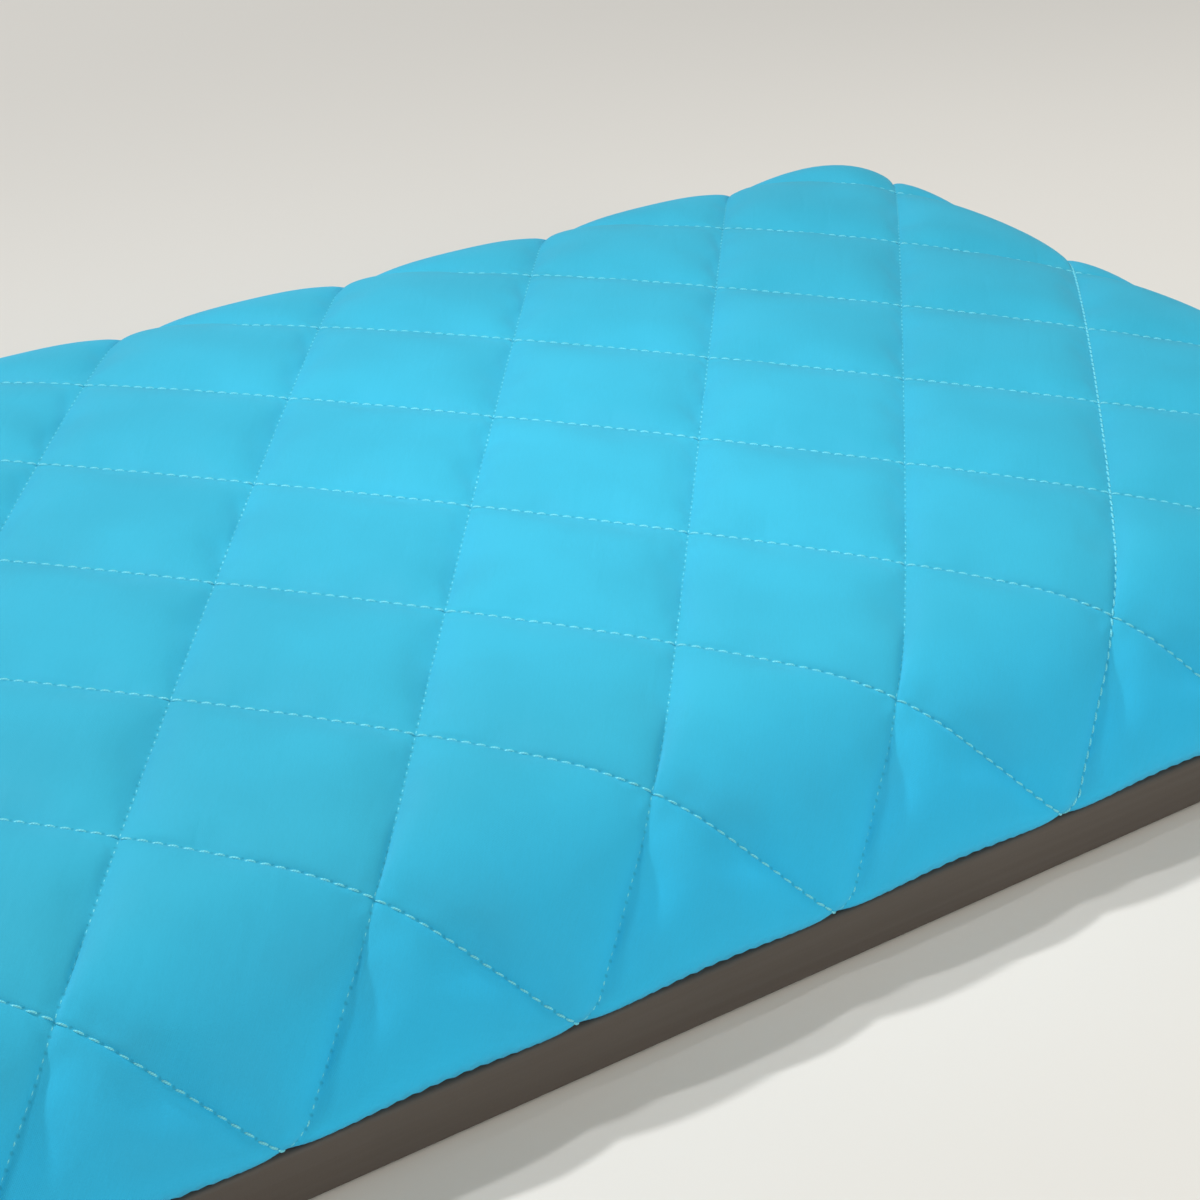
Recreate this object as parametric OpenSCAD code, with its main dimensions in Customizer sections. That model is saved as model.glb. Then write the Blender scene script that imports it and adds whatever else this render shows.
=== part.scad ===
// Kneeling pad: a quilted cushion on a stapled plywood board, screwed to a flat base plate on rubber feet.
// Origin: middle of the pad, on the floor under the feet. +X runs along the pad, +Y across it, +Z up.

/* [Cushion] */
// Length of the pad, measured over the cover
pad_l = 512; // [400:4:640]
// Width of the pad, measured over the cover
pad_w = 276; // [220:4:340]
// Height of the cushion above the base plate, at the middle of its crown
cover_h = 42.5; // [38:0.5:46]
// Radius of the corners, seen from above
corner_r = 45; // [44:1:60]
// Slope of the leaning sides, in degrees
side_slope = 54; // [50:1:62]
// Radius of the shoulder between side and top
shoulder_r = 38; // [34:1:40]
// Slope at which the shoulder runs into the crown, in degrees
crown_slope = 6.5; // [5:0.5:10]
// Height of the crown above the end of the shoulder
crown_rise = 5.8; // [4:0.2:7]

/* [Quilted cover] */
// Thickness of the face fabric
face_t = 0.6; // [0.4:0.1:0.8]
// Thickness of the wadding behind it
wadding_t = 2.0; // [1.5:0.1:2.6]
// Thickness of the lining behind the wadding
lining_t = 0.4; // [0.3:0.1:0.6]
// Radius inside the bend where the cover turns under the board
bend_r = 0.6; // [0.4:0.1:1.2]
// Distance from the pad's edge to the edge of the hem under the board
hem_w = 26; // [24:1:32]

/* [Board and foam] */
// Thickness of the plywood board
board_t = 6; // [5:0.5:9]
// Slope of the shoulder at the height where the firm foam ends and the soft foam begins
foam_split_slope = 36; // [32:1:40]

/* [Base] */
// Thickness of the base plate under the cover's edge
base_t = 12.5; // [8:0.5:14]
// How far the base plate stands back from the cover
base_inset = 1.5; // [1:0.5:4]
// How far the feet stand out under the base plate
foot_proud = 1; // [0.5:0.5:4]
// Diameter of the rubber feet
foot_d = 22; // [16:1:30]

/* [Fasteners] */
// Diameter of the screws' thread
screw_d = 4; // [4:0.5:5]
// Widest spacing of the staples along a straight edge
staple_pitch = 33; // [24:1:50]

/* [Hidden] */
$fn = 64;
facet_fn = 8;                          // steps in each corner of the faceted soft layers
quilt_t = face_t + wadding_t + lining_t;
roll_r = quilt_t + bend_r;             // outer radius of the cover's lower edge
floor_to_plate = foot_proud;
plate_top = foot_proud + base_t;       // height of the base plate's lip, where the cover starts
board_low = plate_top + quilt_t;
board_top = board_low + board_t;

// Shoulder arc: its centre, measured in from the pad's edge and up from the plate's lip.
side_run = (cover_h - crown_rise - shoulder_r * cos(crown_slope) - roll_r
            + (shoulder_r - roll_r) * cos(side_slope)) / sin(side_slope);
arc_in = roll_r + (shoulder_r - roll_r) * sin(side_slope) + side_run * cos(side_slope);
arc_up = roll_r - (shoulder_r - roll_r) * cos(side_slope) + side_run * sin(side_slope);

hem_gap = 2;                           // from the hem's edge to the raised middle of the base plate
relief_inset = 9;                      // where the channel for the staples' crowns begins
relief_depth = 0.8;

foot_socket = 2;                       // depth of the socket that holds a foot
foot_chamfer = 0.8;
foot_at = [pad_l / 2 - 36, pad_w / 2 - 33];
screw_at = [pad_l / 2 - 62, pad_w / 2 - 56];
field_inset = 74;                      // where the shallow field under the base plate begins
field_depth = 1.5;
field_r = 12;
across = [-1, 0, 1];
sides = [-1, 1];

screw_head_d = 2 * screw_d;
screw_clear = 0.15;
screw_tip = 1;                         // from the screw's end to the T-nut's flange
drive_w = 0.9;
drive_l = 4.4;
drive_depth = 1.6;
tnut_wall = 0.8;
tnut_flange_d = 16;
tnut_flange_t = 1;

staple_crown = 12;
staple_wire = 0.7;
staple_leg = 5 + quilt_t;              // through the hem and 5 mm into the board
staple_inset = 19;
staple_corner_turns = [18, 45, 72];

face_col = [0.16, 0.66, 0.84];
wadding_col = [0.93, 0.93, 0.91];
lining_col = [0.80, 0.83, 0.84];
foam_soft_col = [0.93, 0.89, 0.72];
foam_firm_col = [0.62, 0.66, 0.70];
board_col = [0.78, 0.62, 0.42];
plate_col = [0.33, 0.31, 0.29];
rubber_col = [0.10, 0.10, 0.10];
steel_col = [0.70, 0.71, 0.72];

FEET = ["foot_left_front", "foot_left_back", "foot_middle_front",
        "foot_middle_back", "foot_right_front", "foot_right_back"];

// ---- The cushion's edge, as [distance in from the pad's edge, height] pairs, for a skin t deep ----

function roll_point(slope, t) = [
    roll_r - (roll_r - t) * sin(slope),
    plate_top + roll_r + (roll_r - t) * cos(slope)];
function shoulder_point(slope, t) = [
    arc_in - (shoulder_r - t) * sin(slope),
    plate_top + arc_up + (shoulder_r - t) * cos(slope)];
function side_point(height, t) = let (low = roll_point(side_slope, t)) [
    low[0] + (height - low[1]) / tan(side_slope), height];

roll_slopes = [180, 152, 122, 90, side_slope];
low_shoulder_slopes = [side_slope, (side_slope + foam_split_slope) / 2, foam_split_slope];
high_shoulder_slopes = [26, 16, crown_slope];
board_inset = side_point(board_top, quilt_t)[0] + 0.2;
crown_shares = [0.8, 0.6, 0.4, 0.2];

function edge_profile(t) = concat(
    [[hem_w, plate_top + t]],
    [for (slope = roll_slopes) roll_point(slope, t)],
    [for (slope = low_shoulder_slopes) shoulder_point(slope, t)],
    [for (slope = high_shoulder_slopes) shoulder_point(slope, t)]);

// ---- Rings: rounded rectangles, all with the same number of corners ----

function ring(inset, height, share = 1) = let (r = corner_r - inset)
    [for (quarter = [0:3], step = [0:facet_fn])
        let (turn = 90 * (quarter + step / facet_fn),
             cx = (pad_l / 2 - corner_r) * (quarter == 0 || quarter == 3 ? 1 : -1),
             cy = (pad_w / 2 - corner_r) * (quarter < 2 ? 1 : -1))
        [share * (cx + r * cos(turn)), share * (cy + r * sin(turn)), height]];

function edge_rings(profile) = [for (point = profile) ring(point[0], point[1])];

function crown_rings(t) = let (rim = shoulder_point(crown_slope, t))
    [for (share = crown_shares) ring(rim[0], rim[1] + crown_rise * (1 - share * share), share)];

function crown_top(t) = [0, 0, shoulder_point(crown_slope, t)[1] + crown_rise];

function reversed(list) = [for (i = [len(list) - 1:-1:0]) list[i]];

// A closed solid through a stack of rings, with a point at each end.
module skin(start, rings, end) {
    n = len(rings[0]);
    last = len(rings) * n + 1;
    points = concat([start], [for (r = rings, p = r) p], [end]);
    start_fan = [for (i = [0:n - 1]) [0, 1 + i, 1 + (i + 1) % n]];
    walls = [for (k = [0:len(rings) - 2], i = [0:n - 1], half = [0:1])
        let (a = 1 + k * n + i, b = 1 + k * n + (i + 1) % n)
        half == 0 ? [a, a + n, b] : [b, a + n, b + n]];
    end_fan = [for (i = [0:n - 1]) [last, last - n + (i + 1) % n, last - n + i]];
    polyhedron(points, concat(start_fan, walls, end_fan), convexity = 6);
}

// One layer of the cover, from t_out to t_in below its outside, turned under the board.
module cover_layer(t_out, t_in) {
    outside = concat(edge_rings(edge_profile(t_out)), crown_rings(t_out));
    inside = concat(edge_rings(edge_profile(t_in)), crown_rings(t_in));
    skin(crown_top(t_in), concat(reversed(inside), outside), crown_top(t_out));
}

module outline(inset) {
    r = corner_r - inset;
    square([pad_l - 2 * inset, pad_w - 2 * corner_r], center = true);
    square([pad_l - 2 * corner_r, pad_w - 2 * inset], center = true);
    for (x = sides, y = sides)
        translate([x * (pad_l / 2 - corner_r), y * (pad_w / 2 - corner_r)]) circle(r);
}

module slab(inset, low, high) {
    translate([0, 0, low]) linear_extrude(high - low) outline(inset);
}

module underside_field() {
    size = [pad_l / 2 - field_inset, pad_w / 2 - field_inset];
    square([2 * size[0], 2 * (size[1] - field_r)], center = true);
    square([2 * (size[0] - field_r), 2 * size[1]], center = true);
    for (x = sides, y = sides) translate([x * (size[0] - field_r), y * (size[1] - field_r)]) circle(field_r);
}

module at_screws() {
    for (x = across, y = sides) translate([x * screw_at[0], y * screw_at[1], 0]) children();
}

function foot_place(index) = [across[floor(index / 2)] * foot_at[0], sides[index % 2] * foot_at[1], 0];

// ---- Staples ----

module staple(leg_only = false) {
    for (side = sides)
        translate([side * (staple_crown - staple_wire) / 2, 0, staple_leg / 2])
            cube([staple_wire, staple_wire, staple_leg], center = true);
    if (!leg_only)
        translate([0, 0, -staple_wire / 2]) cube([staple_crown, staple_wire, staple_wire], center = true);
}

module along_edge(length, inset_from_middle) {
    count = ceil(length / staple_pitch);
    for (side = sides, i = [0:count])
        translate([(i / count - 0.5) * length, side * inset_from_middle, 0]) children();
}

module at_staples() {
    translate([0, 0, plate_top]) {
        along_edge(pad_l - 2 * corner_r, pad_w / 2 - staple_inset) children();
        rotate(90) along_edge(pad_w - 2 * corner_r, pad_l / 2 - staple_inset) children();
        for (x = sides, y = sides, turn = staple_corner_turns)
            translate([x * (pad_l / 2 - corner_r), y * (pad_w / 2 - corner_r), 0])
                rotate(y > 0 ? (x > 0 ? turn : 180 - turn) : (x > 0 ? -turn : turn - 180))
                    translate([corner_r - staple_inset, 0, 0]) rotate(90) children();
    }
}

// A layer of the cover with the holes that the staples' legs make in its hem.
module stapled_layer(t_out, t_in) {
    difference() {
        cover_layer(t_out, t_in);
        at_staples() staple(leg_only = true);
    }
}

// ---- The pieces ----

module quilt_face() {
    color(face_col) stapled_layer(0, face_t);
}

module quilt_wadding() {
    color(wadding_col) stapled_layer(face_t, face_t + wadding_t);
}

module quilt_lining() {
    color(lining_col) stapled_layer(face_t + wadding_t, quilt_t);
}

module soft_foam() {
    split = shoulder_point(foam_split_slope, quilt_t);
    rings = concat([ring(split[0], split[1])],
                   [for (slope = high_shoulder_slopes) let (p = shoulder_point(slope, quilt_t)) ring(p[0], p[1])],
                   crown_rings(quilt_t));
    color(foam_soft_col) skin([0, 0, split[1]], rings, crown_top(quilt_t));
}

module firm_foam() {
    split = shoulder_point(foam_split_slope, quilt_t);
    profile = concat([side_point(board_top, quilt_t)],
                     [for (slope = low_shoulder_slopes) shoulder_point(slope, quilt_t)]);
    color(foam_firm_col) difference() {
        skin([0, 0, board_top], edge_rings(profile), [0, 0, split[1]]);
        at_screws() translate([0, 0, board_top - 1]) cylinder(d = tnut_flange_d + 0.4, h = tnut_flange_t + 1.1);
    }
}

module backing_board() {
    color(board_col) difference() {
        slab(board_inset, board_low, board_top);
        at_screws() translate([0, 0, board_low - 1]) cylinder(d = screw_d + 2 * tnut_wall, h = board_t + 2);
        at_staples() staple(leg_only = true);
    }
}

module staples() {
    color(steel_col) at_staples() staple();
}

module t_nuts() {
    color(steel_col) at_screws() difference() {
        union() {
            translate([0, 0, board_low]) cylinder(d = screw_d + 2 * tnut_wall, h = board_t);
            translate([0, 0, board_top]) cylinder(d = tnut_flange_d, h = tnut_flange_t);
        }
        translate([0, 0, board_low - 1]) cylinder(d = screw_d + 0.1, h = board_t + tnut_flange_t + 2);
    }
}

module base_plate() {
    middle_inset = hem_w + hem_gap;
    color(plate_col) difference() {
        union() {
            slab(base_inset, floor_to_plate, plate_top);
            slab(middle_inset, plate_top - 1, board_low);
        }
        difference() {
            slab(relief_inset, plate_top - relief_depth, plate_top + 1);
            slab(middle_inset, plate_top - 2, plate_top + 2);
        }
        translate([0, 0, floor_to_plate - 1]) linear_extrude(field_depth + 1) underside_field();
        for (i = [0:len(FEET) - 1])
            translate(foot_place(i)) translate([0, 0, floor_to_plate - 1])
                cylinder(d = foot_d, h = foot_socket + 1);
        at_screws() {
            cylinder(d = screw_d + 2 * screw_clear, h = board_low + 1);
            translate([0, 0, floor_to_plate])
                cylinder(d1 = screw_head_d + 2 * screw_clear, d2 = screw_d + 2 * screw_clear, h = screw_d / 2);
            translate([0, 0, floor_to_plate - 1]) cylinder(d = screw_head_d + 2 * screw_clear, h = 1);
        }
    }
}

module base_screw() {
    head_low = floor_to_plate + screw_clear;
    difference() {
        union() {
            translate([0, 0, head_low]) cylinder(d1 = screw_head_d, d2 = screw_d, h = screw_d / 2);
            translate([0, 0, head_low]) cylinder(d = screw_d, h = board_top - screw_tip - head_low);
        }
        for (turn = [0, 90])
            rotate(turn) translate([0, 0, head_low]) cube([drive_l, drive_w, 2 * drive_depth], center = true);
    }
}

module base_screws() {
    color(steel_col) at_screws() base_screw();
}

module foot(index) {
    color(rubber_col) translate(foot_place(index)) rotate_extrude()
        polygon([[0, 0], [foot_d / 2 - foot_chamfer, 0], [foot_d / 2, foot_chamfer],
                 [foot_d / 2, foot_proud + foot_socket], [0, foot_proud + foot_socket]]);
}

quilt_face();
quilt_wadding();
quilt_lining();
soft_foam();
firm_foam();
backing_board();
staples();
t_nuts();
base_plate();
base_screws();
for (i = [0:len(FEET) - 1])
    foot(i);
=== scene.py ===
"""Kneeling pad: quilted cushion, stitching, foams, board, base plate and feet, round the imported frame."""

import math

import bpy
import numpy as np
from bpy.props import FloatProperty, FloatVectorProperty, IntProperty, PointerProperty
from mathutils import Matrix, Vector
from mathutils.bvhtree import BVHTree


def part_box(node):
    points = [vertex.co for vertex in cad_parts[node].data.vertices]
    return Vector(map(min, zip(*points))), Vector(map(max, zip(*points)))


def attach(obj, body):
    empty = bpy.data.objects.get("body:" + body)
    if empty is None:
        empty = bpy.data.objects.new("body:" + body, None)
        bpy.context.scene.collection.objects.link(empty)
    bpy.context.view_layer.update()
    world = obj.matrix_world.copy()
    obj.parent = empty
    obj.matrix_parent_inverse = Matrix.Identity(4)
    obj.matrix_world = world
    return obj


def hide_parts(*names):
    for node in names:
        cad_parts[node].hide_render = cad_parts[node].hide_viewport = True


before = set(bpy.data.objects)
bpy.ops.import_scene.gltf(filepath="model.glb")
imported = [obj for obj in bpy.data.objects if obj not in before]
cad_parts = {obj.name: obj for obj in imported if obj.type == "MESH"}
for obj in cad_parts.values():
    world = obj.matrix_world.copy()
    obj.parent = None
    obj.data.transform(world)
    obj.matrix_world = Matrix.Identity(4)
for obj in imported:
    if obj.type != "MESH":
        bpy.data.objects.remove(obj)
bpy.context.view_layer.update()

bl_info = {
    "name": "Kneeling pad",
    "version": (1, 0, 0),
    "blender": (4, 5, 0),
    "location": "View3D > Sidebar > Kneeling pad",
    "description": "Makes a quilted kneeling pad round its packed frame",
    "category": "Object",
}

MM = 0.001
COVER_LOW, COVER_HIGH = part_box("quilt_face")
PLATE_LOW, PLATE_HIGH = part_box("base_plate")
FIRM_LOW, FIRM_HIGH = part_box("firm_foam")
FEET = sorted(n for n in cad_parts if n.startswith("foot_"))
SCREWS_LOW, SCREWS_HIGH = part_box("base_screws")
NUTS_LOW, NUTS_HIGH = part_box("t_nuts")
EDGE_SLOPE = math.radians(144)  # the bend's slope at the lowest line of the cover that is seen
BODY = "root"
TINY = 1e-9  # keeps divisors off zero
ON_SEAM = 1e-6  # a seam count this near to a whole number is on the seam


# ---------------------------------------------------------------- sizes and colours


def length(name, description, default):
    """A length, in metres."""
    return FloatProperty(
        name=name, description=description, default=default, min=0, precision=5,
        subtype="DISTANCE", unit="LENGTH")


def angle(name, description, degrees):
    """An angle, given in degrees."""
    return FloatProperty(
        name=name, description=description, default=math.radians(degrees), subtype="ANGLE", unit="ROTATION")


def colour(name, description, rgb):
    """A linear colour."""
    return FloatVectorProperty(
        name=name, description=description, default=rgb, size=3, min=0, max=1, subtype="COLOR")


def power(name, description, watts):
    """A light's power."""
    return FloatProperty(name=name, description=description, default=watts, min=0, unit="POWER")


class CushionShape(bpy.types.PropertyGroup):
    corner_radius: length("Corner radius", "Radius of the corners, seen from above", 45 * MM)
    bend_radius: length("Bend radius", "Outside of the bend where the cover turns under", 3.6 * MM)
    hem_width: length("Hem", "From the pad's edge to the hem's edge under the board", 26 * MM)
    side_slope: angle("Side slope", "Slope of the leaning sides", 54)
    shoulder_radius: length("Shoulder radius", "Radius between side and top", 38 * MM)
    crown_slope: angle("Crown slope", "Slope where the shoulder runs into the crown", 9)
    crown_rise: length("Crown rise", "Height of the crown above the shoulder's end", 5.8 * MM)
    crown_reach: length("Crown reach", "Distance over which the crown levels out", 35 * MM)
    seam_depth: length("Seam depth", "How far the seams lie under the cushion's outer surface", 1.0 * MM)
    edge_pull: length("Edge pull", "How much the hem's pull lengthens the outermost half squares", 5.3 * MM)
    notch_depth: length("Notch depth", "How far seam crossings draw in the cover's lower edge", 0.8 * MM)


class Quilting(bpy.types.PropertyGroup):
    square: length("Square", "Side of a quilted square", 48 * MM)
    puff_height: length("Puff height", "How far a square stands above its seams", 3.0 * MM)
    stitches: IntProperty(name="Stitches", description="Stitches along a square's side", default=17, min=4)
    thread: length("Thread", "Thickness of the thread", 0.5 * MM)
    slant: angle("Slant", "Turn of each stitch off its seam", 9)
    steps: IntProperty(name="Steps", description="Mesh steps along a square's side", default=15, min=4)
    tuck: length("Tuck", "Depth of the narrow tuck at the seams that run to the far right", 0.6 * MM)
    light_tuck: length("Light tuck", "Depth of the tuck at the other seams", 0.25 * MM)
    loose_from: IntProperty(
        name="Loose from", description="First seam toward the right end whose stitches lie on top", default=6)
    sink: length("Sink", "How deep the tight seams' stitches lie in their tucks", 0.3 * MM)
    gathers: length("Gathers", "Depth of the folds that take up the fabric at the corners", 1.5 * MM)


class Finishes(bpy.types.PropertyGroup):
    cover: colour("Cover", "Face fabric on the top", (0.036, 0.490, 0.730))
    # Painted light: the sides get a bluer, brighter copy of the cover's colour that stands in for how light
    # falls on them; the nap does not cause it.
    cover_side_painted_light: colour("Cover's sides", "Face fabric where its nap hangs down", (0.022, 0.540, 0.92))
    # Partly painted highlight: the thread's colour is its own lighter blue and is also lightened to stand in
    # for the glints on the stitches.
    thread: colour("Thread", "Quilting thread", (0.17, 0.79, 1.0))
    plate: colour("Base plate", "Moulded base plate", (0.094, 0.079, 0.068))
    rubber: colour("Feet", "Rubber feet", (0.022, 0.022, 0.022))
    floor: colour("Floor", "Pale floor", (0.825, 0.813, 0.785))


class StageLights(bpy.types.PropertyGroup):
    lens: length("Lens", "Focal length", 97.8 * MM)
    key: power("Key", "Power of the key light", 80)
    second_key: power("Second key", "Power of the steeper key light", 9.8)
    pool: power("Pool", "Power of the spot over the pad's middle", 15)
    fill: power("Fill", "Power of the fill over the near side", 25.5)
    ambient: FloatProperty(
        name="Ambient", description="Strength of the light from all round", default=0.16, min=0)


class KneelingPad(bpy.types.PropertyGroup):
    shape: PointerProperty(type=CushionShape)
    quilting: PointerProperty(type=Quilting)
    finishes: PointerProperty(type=Finishes)
    lights: PointerProperty(type=StageLights)


# ---------------------------------------------------------------- the cushion's form


class Form:
    """The smooth form that the seams lie on, and where each point of the flat fabric comes to lie on it.

    q is the distance along the form's surface, in from its lowest visible edge. It is negative under the pad.
    """

    def __init__(self, shape, quilting):
        self.shape = shape
        self.square = quilting.square
        self.half_diagonal = self.square / math.sqrt(2)
        self.half = np.array([COVER_HIGH.x, COVER_HIGH.y])
        self.corner_middle = self.half - shape.corner_radius
        bend, shoulder, slope = shape.bend_radius, shape.shoulder_radius, shape.side_slope
        height = COVER_HIGH.z - COVER_LOW.z
        rim_height = height - shape.crown_rise
        climb = rim_height - shoulder * math.cos(shape.crown_slope) - bend
        climb += (shoulder - bend) * math.cos(slope)
        self.side_run = climb / math.sin(slope)
        self.arc_in = bend + (shoulder - bend) * math.sin(slope) + self.side_run * math.cos(slope)
        self.arc_up = bend - (shoulder - bend) * math.cos(slope) + climb
        self.rim_inset = self.arc_in - shoulder * math.sin(shape.crown_slope)
        self.rim_height = rim_height
        self.q_bend = bend * (EDGE_SLOPE - slope)
        self.q_side = self.q_bend + self.side_run
        self.q_shoulder = self.q_side + shoulder * (slope - shape.crown_slope)
        self.q_corner = self.q_shoulder + shape.corner_radius - self.rim_inset
        self.q_hem = -(shape.hem_width - bend) - bend * (math.pi - EDGE_SLOPE)
        self.reach = self.corner_middle + self.q_corner - shape.edge_pull
        whole = np.round(self.reach / self.half_diagonal * 2) / 2
        self.stretch = self.reach / (whole * self.half_diagonal)
        self.fabric_reach = whole * self.half_diagonal

    def squares_at(self, u, v):
        """The seams' two counts at a point of the fabric: a whole number is a seam."""
        across, along = v / (2 * self.half_diagonal), u / (2 * self.half_diagonal)
        return 1.5 - across - along, 3 - across + along

    def fabric_at(self, a, b):
        """The point of the flat fabric where the seams' counts are a and b."""
        return (b - a - 1.5) * self.half_diagonal, (4.5 - a - b) * self.half_diagonal

    def crown(self, inset):
        """Height and slope of the crown at an inset."""
        shape = self.shape
        decay = np.exp(-np.maximum(inset - self.rim_inset, 0) / shape.crown_reach)
        height = self.rim_height + shape.crown_rise * (1 - decay)
        return height, np.arctan(shape.crown_rise / shape.crown_reach * decay)

    def profile(self, q):
        """Inset from the pad's edge, height over the plate and slope at q, on a straight side or a corner."""
        shape = self.shape
        bend, shoulder = shape.bend_radius, shape.shoulder_radius
        q = np.maximum(q, self.q_hem)
        turn = np.clip(EDGE_SLOPE - q / bend, shape.side_slope, math.pi)
        inset = bend - bend * np.sin(turn)
        height = bend + bend * np.cos(turn)
        slope = turn
        under = bend * (math.pi - EDGE_SLOPE)
        inset = inset + np.maximum(-q - under, 0)
        run = np.clip(q - self.q_bend, 0, self.side_run)
        inset = inset + run * math.cos(shape.side_slope)
        height = height + run * math.sin(shape.side_slope)
        arc = np.clip(shape.side_slope - (q - self.q_side) / shoulder, shape.crown_slope, shape.side_slope)
        on_arc = q > self.q_side
        inset = np.where(on_arc, self.arc_in - shoulder * np.sin(arc), inset)
        height = np.where(on_arc, self.arc_up + shoulder * np.cos(arc), height)
        slope = np.where(on_arc, arc, slope)
        inset = inset + np.maximum(q - self.q_shoulder, 0)
        crown_height, crown_slope = self.crown(inset)
        on_crown = q > self.q_shoulder
        return inset, np.where(on_crown, crown_height, height), np.where(on_crown, crown_slope, slope)

    def edge_distance(self, u, v):
        """q at a point of the fabric, with its distances past the corner's middle."""
        past = np.stack([np.abs(u) * self.stretch[0], np.abs(v) * self.stretch[1]]) - (
            self.corner_middle[:, None])
        outside = np.maximum(past, 0)
        both = (past > 0).all(axis=0)
        reach = np.where(both, np.hypot(*outside), past.max(axis=0))
        pull = self.shape.edge_pull
        cut = self.q_corner - pull - reach
        return cut + pull * np.clip(cut / self.half_diagonal, 0, 1), past, both

    def notch(self, u, v, q):
        """How far the lower edge is drawn in, which happens only beside a crossing of two seams."""
        to_a, to_b = (self.square * from_seam(count) for count in self.squares_at(u, v))
        spread = 4 * MM
        near = np.exp(-(to_a ** 2 + to_b ** 2) / spread ** 2)
        return self.shape.notch_depth * near * ease(q, -6 * MM, -1 * MM) * ease(-q, -9 * MM, -2 * MM)

    def place(self, u, v, lift):
        """Where fabric points lie, raised by lift off the seams' surface."""
        q, past, both = self.edge_distance(u, v)
        inset, height, slope = self.profile(q)
        sign = np.stack([np.sign(u), np.sign(v)])
        inside = (past <= 0).all(axis=0)
        # Beyond the corners' middles the plan follows the profile; between them the fabric lies as it is cut.
        radius = self.shape.corner_radius - inset
        outside = np.maximum(past, 0)
        away = outside / np.maximum(np.hypot(*outside), TINY)
        plan = self.corner_middle[:, None] + np.where(past > 0, away * radius, past)
        # On the crown the height follows a rounded distance to both edges.
        least, blend = 1e-7, 1.6
        a, b = np.maximum(-past, least)
        nearer = (a ** -blend + b ** -blend) ** (-1 / blend)
        crown_height, crown_slope = self.crown(self.shape.corner_radius + nearer)
        height = np.where(inside, crown_height, height)
        slope = np.where(inside, crown_slope, slope)
        lean = np.stack([(nearer / a) ** (blend + 1), (nearer / b) ** (blend + 1)])
        away = np.where(inside, lean, away)
        normal = np.stack([*(away * np.sin(slope) * sign), np.cos(slope)])
        start, run = 1 * MM, 6 * MM
        raise_by = lift - self.shape.seam_depth * np.clip((q - start) / run, 0, 1) - self.notch(u, v, q)
        points = np.stack([*(plan * sign), COVER_LOW.z + height]) + normal * raise_by
        return points.T, normal.T, q


def from_seam(count):
    """How far a seam count is from the nearest seam, in squares."""
    return np.abs(count - np.round(count))


def puff(a, b):
    """How full the quilting is, from 0 on a seam to 1 in a square's middle."""
    rise, flatness = 1.0, 3.4
    for count in (a, b):
        from_middle = np.abs(2 * (count - np.floor(count)) - 1)
        rise = rise * (1 - from_middle ** flatness)
    return rise


def tucks(a, b, quilting):
    """Depth of the narrow tucks that the stitches pull in beside the seams."""
    depth, spread = 0, 0.9 * MM
    for count, full in ((a, quilting.light_tuck), (b, quilting.tuck)):
        away = quilting.square * from_seam(count)
        depth = depth + full * np.exp(-(away / spread) ** 2)
    return depth


def ease(value, low, high):
    """0 below low, 1 above high, smooth between."""
    t = np.clip((value - low) / (high - low), 0, 1)
    return t * t * (3 - 2 * t)


def gather_zone(form, u, v):
    """Where the corners' gathers are, from 0 to 1, and how far round the corner each point lies."""
    q, past, both = form.edge_distance(u, v)
    turn = np.arctan2(np.maximum(past[1], TINY), np.maximum(past[0], TINY)) / (math.pi / 2)
    fade = 0.16
    span = ease(turn, 0.0, fade) * ease(1 - turn, 0.0, fade)
    return np.where(both, span * ease(-q, -30 * MM, -4 * MM), 0), turn


def gathers(form, u, v, depth):
    """The small folds at the corners, which take up the fabric that the round corner doesn't need."""
    zone, turn = gather_zone(form, u, v)
    quarter = (np.sign(u) + 2 * np.sign(v)) * 0.9  # makes each corner's folds differ
    folds, unevenness, fullness = 7.0, 0.35, 0.8
    wave = np.sin(2 * math.pi * (folds * turn + unevenness * np.sin(5 * turn + quarter) + 0.25))
    return depth * zone * np.sign(wave) * np.abs(wave) ** fullness


def seam_steps(count):
    """Positions across one square, closer together beside the seams."""
    t = np.arange(count) / count
    crowding = 0.8
    return t - crowding * np.sin(2 * math.pi * t) / (2 * math.pi)


def fabric_lattice(form, steps):
    """A mesh lattice along the seams' own directions over the whole fabric: counts a and b, and quads."""
    spare = 40 * MM
    corners = form.fabric_reach + spare
    reach = (corners[0] + corners[1]) / (2 * form.half_diagonal)
    middle_a, middle_b = form.squares_at(0.0, 0.0)
    cells_a = np.arange(math.floor(middle_a - reach), math.ceil(middle_a + reach))
    cells_b = np.arange(math.floor(middle_b - reach), math.ceil(middle_b + reach))
    part = seam_steps(steps)
    a_lines = (cells_a[:, None] + part[None, :]).ravel()
    b_lines = (cells_b[:, None] + part[None, :]).ravel()
    a, b = (grid.ravel() for grid in np.meshgrid(a_lines, b_lines, indexing="ij"))
    u, v = form.fabric_at(a, b)
    q = form.edge_distance(u, v)[0]
    kept = q > form.q_hem
    rows, columns = len(a_lines), len(b_lines)
    index = np.arange(rows * columns).reshape(rows, columns)
    quads = np.stack(
        [index[:-1, :-1], index[1:, :-1], index[1:, 1:], index[:-1, 1:]], axis=-1).reshape(-1, 4)
    quads = quads[kept[quads].any(axis=1)]
    used, flat = np.unique(quads, return_inverse=True)
    return a[used], b[used], flat.reshape(-1, 4)


def open_edges(quads):
    """The lattice's outer edges as pairs of vertices, in the quads' own turning order."""
    pairs = np.concatenate([quads[:, [i, (i + 1) % 4]] for i in range(4)])
    keys = {tuple(p) for p in pairs.tolist()}
    return [p for p in pairs.tolist() if (p[1], p[0]) not in keys]


# ---------------------------------------------------------------- mesh helpers


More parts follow.
